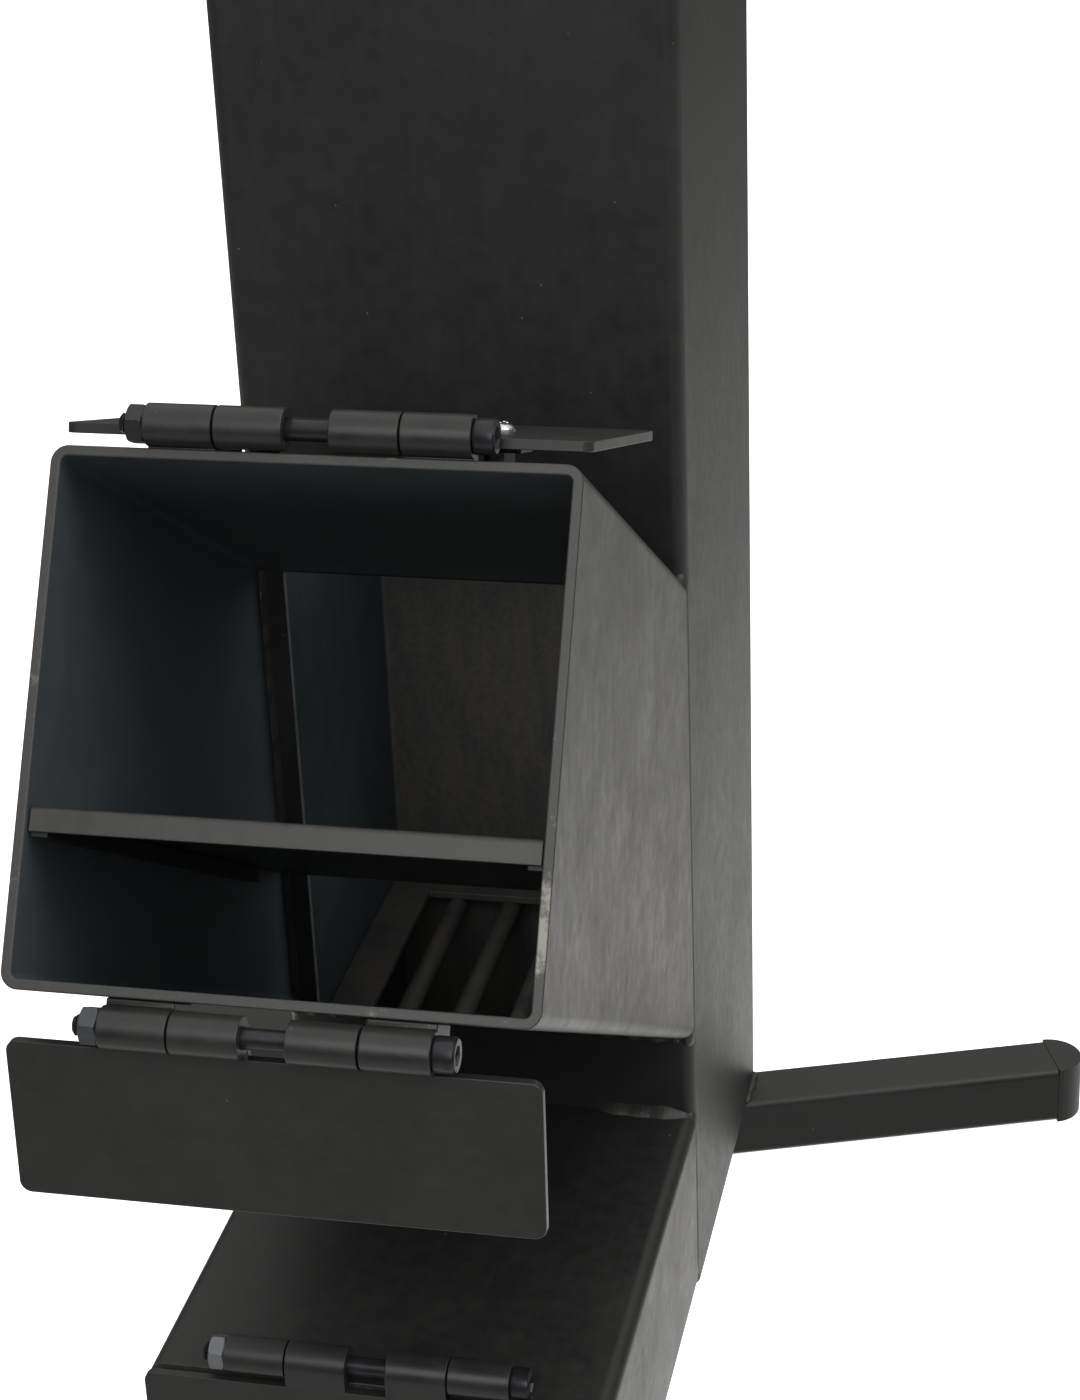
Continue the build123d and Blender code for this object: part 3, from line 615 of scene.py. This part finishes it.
def pan_screw(middle, shank):
    """M5 pan-head screw along screw_up, as one grid of rings from the shank's end to the middle of the recess.

    The head's height over its base is 0.6 mm plus 2.6 mm times the square root of 1 - (radius / 4.5 mm)
    squared. A cross 1.1 mm wide and 4.6 mm across is taken 1.6 mm down into it."""
    dome = np.concatenate([4.5 * np.cos(np.linspace(0, 0.9, 12)), np.linspace(2.75, 0.0, 26)])[:, None] / 1000
    height = 0.0006 + 0.0026 * np.sqrt(np.clip(1 - (dome / 0.0045) ** 2, 0, 1))
    across = np.abs(dome * np.cos(spin))
    along = np.abs(dome * np.sin(spin))
    slot = np.clip((0.00055 - np.minimum(across, along)) / 0.00012 + 0.5, 0, 1)
    reach = np.clip((0.0023 - np.maximum(across, along)) / 0.00015 + 0.5, 0, 1)
    height = height - 0.0016 * slot * reach
    plain = np.array([[0.0, -shank], [0.0023, -shank], [0.0025, -shank + 0.0003], [0.0025, 0], [0.0044, 0],
                      [0.0045, 0.0001]])
    radius = np.concatenate([plain[:, :1] * np.ones_like(spin), dome * np.ones_like(spin)])[..., None]
    height = np.concatenate([plain[:, 1:] * np.ones_like(spin), height])[..., None]
    turn = spin[..., None]
    return middle + height * screw_up + radius * (np.cos(turn) * screw_side + np.sin(turn) * screw_other)


low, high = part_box("lid_handle_screws")
# rise and drift: how far the CAD screws' points lie along the shank and across it
screw_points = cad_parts["lid_handle_screws"].data.vertices
corners = np.empty(len(screw_points) * 3)
screw_points.foreach_get("co", corners)
corners = corners.reshape(-1, 3)
rise_of = corners @ screw_up
drift_of = corners @ screw_other
head_height = 0.0032
head_radius = 0.0045
head_base = rise_of.max() - head_height
screw_drift = (drift_of.min() + drift_of.max()) / 2
grids = [pan_screw(screw_up * head_base + screw_other * screw_drift + screw_side * x, head_base - rise_of.min())
         for x in (low.x + head_radius, high.x - head_radius)]
screws = surface("lid_handle_screws_turned", grids, screw_plate, "lid", closed=True)
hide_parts("lid_handle_screws")
softened("lid_handle_nuts", "lid", [nut_zinc], bar_edge)


# ------------------------------------------------------------------ pot cross
# Two flat steel bars, slotted together and sprayed black. They sit loose in notches in the chimney's
# rim, and hold the pot off it.

cross_paint = sprayed_black("matt_heat_paint_pot_cross", "#1d1d1c", "#2a2927", 0.03, (200, 200, 200), 0.5, 0.4)
for bar in ("pot_cross_bar_across", "pot_cross_bar_along"):
    softened(bar, "pot_cross", [cross_paint], bar_edge)


# ------------------------------------------------------------------ floor, light and view
# A pale seamless floor and backdrop, soft light all round that is strongest above and behind, a large
# softbox at the right, a softer one in front, two small lamps in the flue, and a camera above the mouth.

floor_finish, tree = new_finish("pale_seamless_floor")
place = add(tree, "ShaderNodeTexCoord").outputs["Object"]
tooth = add(tree, "ShaderNodeTexNoise", {"Vector": place, "Scale": 300.0, "Detail": 2.0})
floor_tone = add(tree, "ShaderNodeMix", {0: tooth.outputs[0], 6: linear("#f4f4f4"), 7: linear("#ffffff")},
                 data_type="RGBA")
floor_shader = add(tree, "ShaderNodeBsdfPrincipled",
                   {"Base Color": floor_tone.outputs[2], "Roughness": 0.9, "Specular IOR Level": 0.0,
                    "Emission Color": (1, 1, 1, 1), "Emission Strength": 0.93})
add(tree, "ShaderNodeOutputMaterial", {"Surface": floor_shader.outputs[0]})
# the floor lies 0.2 mm under the feet, and isn't seen by reflections, so that the paint stays dark
mesh = bpy.data.meshes.new("floor")
floor_corners = [(-30, -30, -0.0002), (30, -30, -0.0002), (30, 30, -0.0002), (-30, 30, -0.0002)]
mesh.from_pydata(floor_corners, [], [(0, 1, 2, 3)])
mesh.materials.append(floor_finish)
floor = bpy.data.objects.new("floor", mesh)
bpy.context.scene.collection.objects.link(floor)
floor.visible_glossy = False
floor.visible_diffuse = False

# backdrop: a dome of 12 m radius, whose points are the radius times the cosines and sines of two angles
around = np.linspace(0, 2 * np.pi, 65)[None, :-1]
lift = np.linspace(-0.05, np.pi / 2, 17)[:, None]
dome = 12 * np.stack([np.cos(lift) * np.cos(around), np.cos(lift) * np.sin(around),
                      np.sin(lift) * np.ones_like(around)], -1)
number = np.arange(dome.shape[0] * dome.shape[1]).reshape(dome.shape[:2])
beside = np.roll(number, -1, 1)
cells = np.stack([number[:-1], number[1:], beside[1:], beside[:-1]], -1)
mesh = bpy.data.meshes.new("backdrop")
mesh.from_pydata(dome.reshape(-1, 3).tolist(), [], cells.reshape(-1, 4).tolist())
mesh.materials.append(floor_finish)
backdrop = bpy.data.objects.new("backdrop", mesh)
bpy.context.scene.collection.objects.link(backdrop)
for ray in ("glossy", "diffuse", "shadow", "transmission"):
    setattr(backdrop, "visible_" + ray, False)

# soft light: faint at the horizon, rising to the zenith, and coming up from below most on the far side
world = bpy.data.worlds.new("soft_studio")
bpy.context.scene.world = world
world.use_nodes = True
tree = world.node_tree
tree.nodes.clear()
look = add(tree, "ShaderNodeSeparateXYZ", {0: add(tree, "ShaderNodeTexCoord").outputs["Generated"]})
rise = look.outputs["Z"]
above = add(tree, "ShaderNodeMapRange", {0: rise, 1: 0.05, 2: 0.9, 3: 0.0, 4: 0.85},
            interpolation_type="SMOOTHSTEP")
below = add(tree, "ShaderNodeMapRange", {0: rise, 1: -0.16, 2: -0.6, 3: 0.0, 4: 1.45},
            interpolation_type="SMOOTHSTEP")
behind = add(tree, "ShaderNodeMapRange", {0: look.outputs["Y"], 1: -0.4, 2: 0.4, 3: 0.3, 4: 1.0},
             interpolation_type="SMOOTHSTEP")
low_part = add(tree, "ShaderNodeMath", {0: below.outputs[0], 1: behind.outputs[0]}, operation="MULTIPLY")
total = add(tree, "ShaderNodeMath", {0: above.outputs[0], 1: low_part.outputs[0]}, operation="ADD")
total = add(tree, "ShaderNodeMath", {0: total.outputs[0], 1: 0.10}, operation="ADD")
glow = add(tree, "ShaderNodeBackground", {"Color": (1.0, 0.99, 0.97, 1), "Strength": total.outputs[0]})
add(tree, "ShaderNodeOutputWorld", {"Surface": glow.outputs[0]})


def softbox(name, width, height, watts, spot, target):
    """Area light of a width and height in metres at a spot, turned to face the target."""
    panel = bpy.data.lights.new(name, "AREA")
    panel.shape = "RECTANGLE"
    panel.size = width
    panel.size_y = height
    panel.energy = watts
    stand = bpy.data.objects.new(name, panel)
    stand.location = spot
    stand.rotation_euler = (Vector(target) - stand.location).to_track_quat("-Z", "Y").to_euler()
    bpy.context.scene.collection.objects.link(stand)


softbox("softbox_right", 1.2, 1.6, 14, (1.6, -0.6, 1.9), (0, -0.15, 0.25))
for spot, watts in (((0.0, -0.055, 0.315), 0.095), ((0.0, -0.06, 0.165), 0.05)):
    lamp = bpy.data.lights.new("flue_lamp", "POINT")
    lamp.energy = watts
    lamp.shadow_soft_size = 0.03
    lamp_object = bpy.data.objects.new("flue_lamp", lamp)
    lamp_object.location = spot
    lamp_object.visible_camera = False
    lamp_object.visible_glossy = False
    bpy.context.scene.collection.objects.link(lamp_object)

softbox("fill_front", 0.8, 0.8, 7, (0.1, -1.45, 1.05), (0, -0.3, 0.3))

# the camera's place and its three axes, which together give the view down onto the mouth
camera = bpy.data.cameras.new("camera")
camera.sensor_width = 36
camera.lens = 74.203
camera.clip_start = 0.01
camera_object = bpy.data.objects.new("camera", camera)
bpy.context.scene.collection.objects.link(camera_object)
camera_right = Vector((0.97793027, 0.20568796, -0.03667216))
camera_up = Vector((-0.05469966, 0.42145412, 0.90519852))
camera_back = Vector((0.20164407, -0.88321508, 0.42340381))
turn = Matrix((camera_right, camera_up, camera_back)).transposed().to_4x4()
camera_object.matrix_world = Matrix.Translation((0.22125588, -0.97527744, 0.67636851)) @ turn
bpy.context.scene.camera = camera_object
bpy.context.scene.view_settings.view_transform = "Standard"
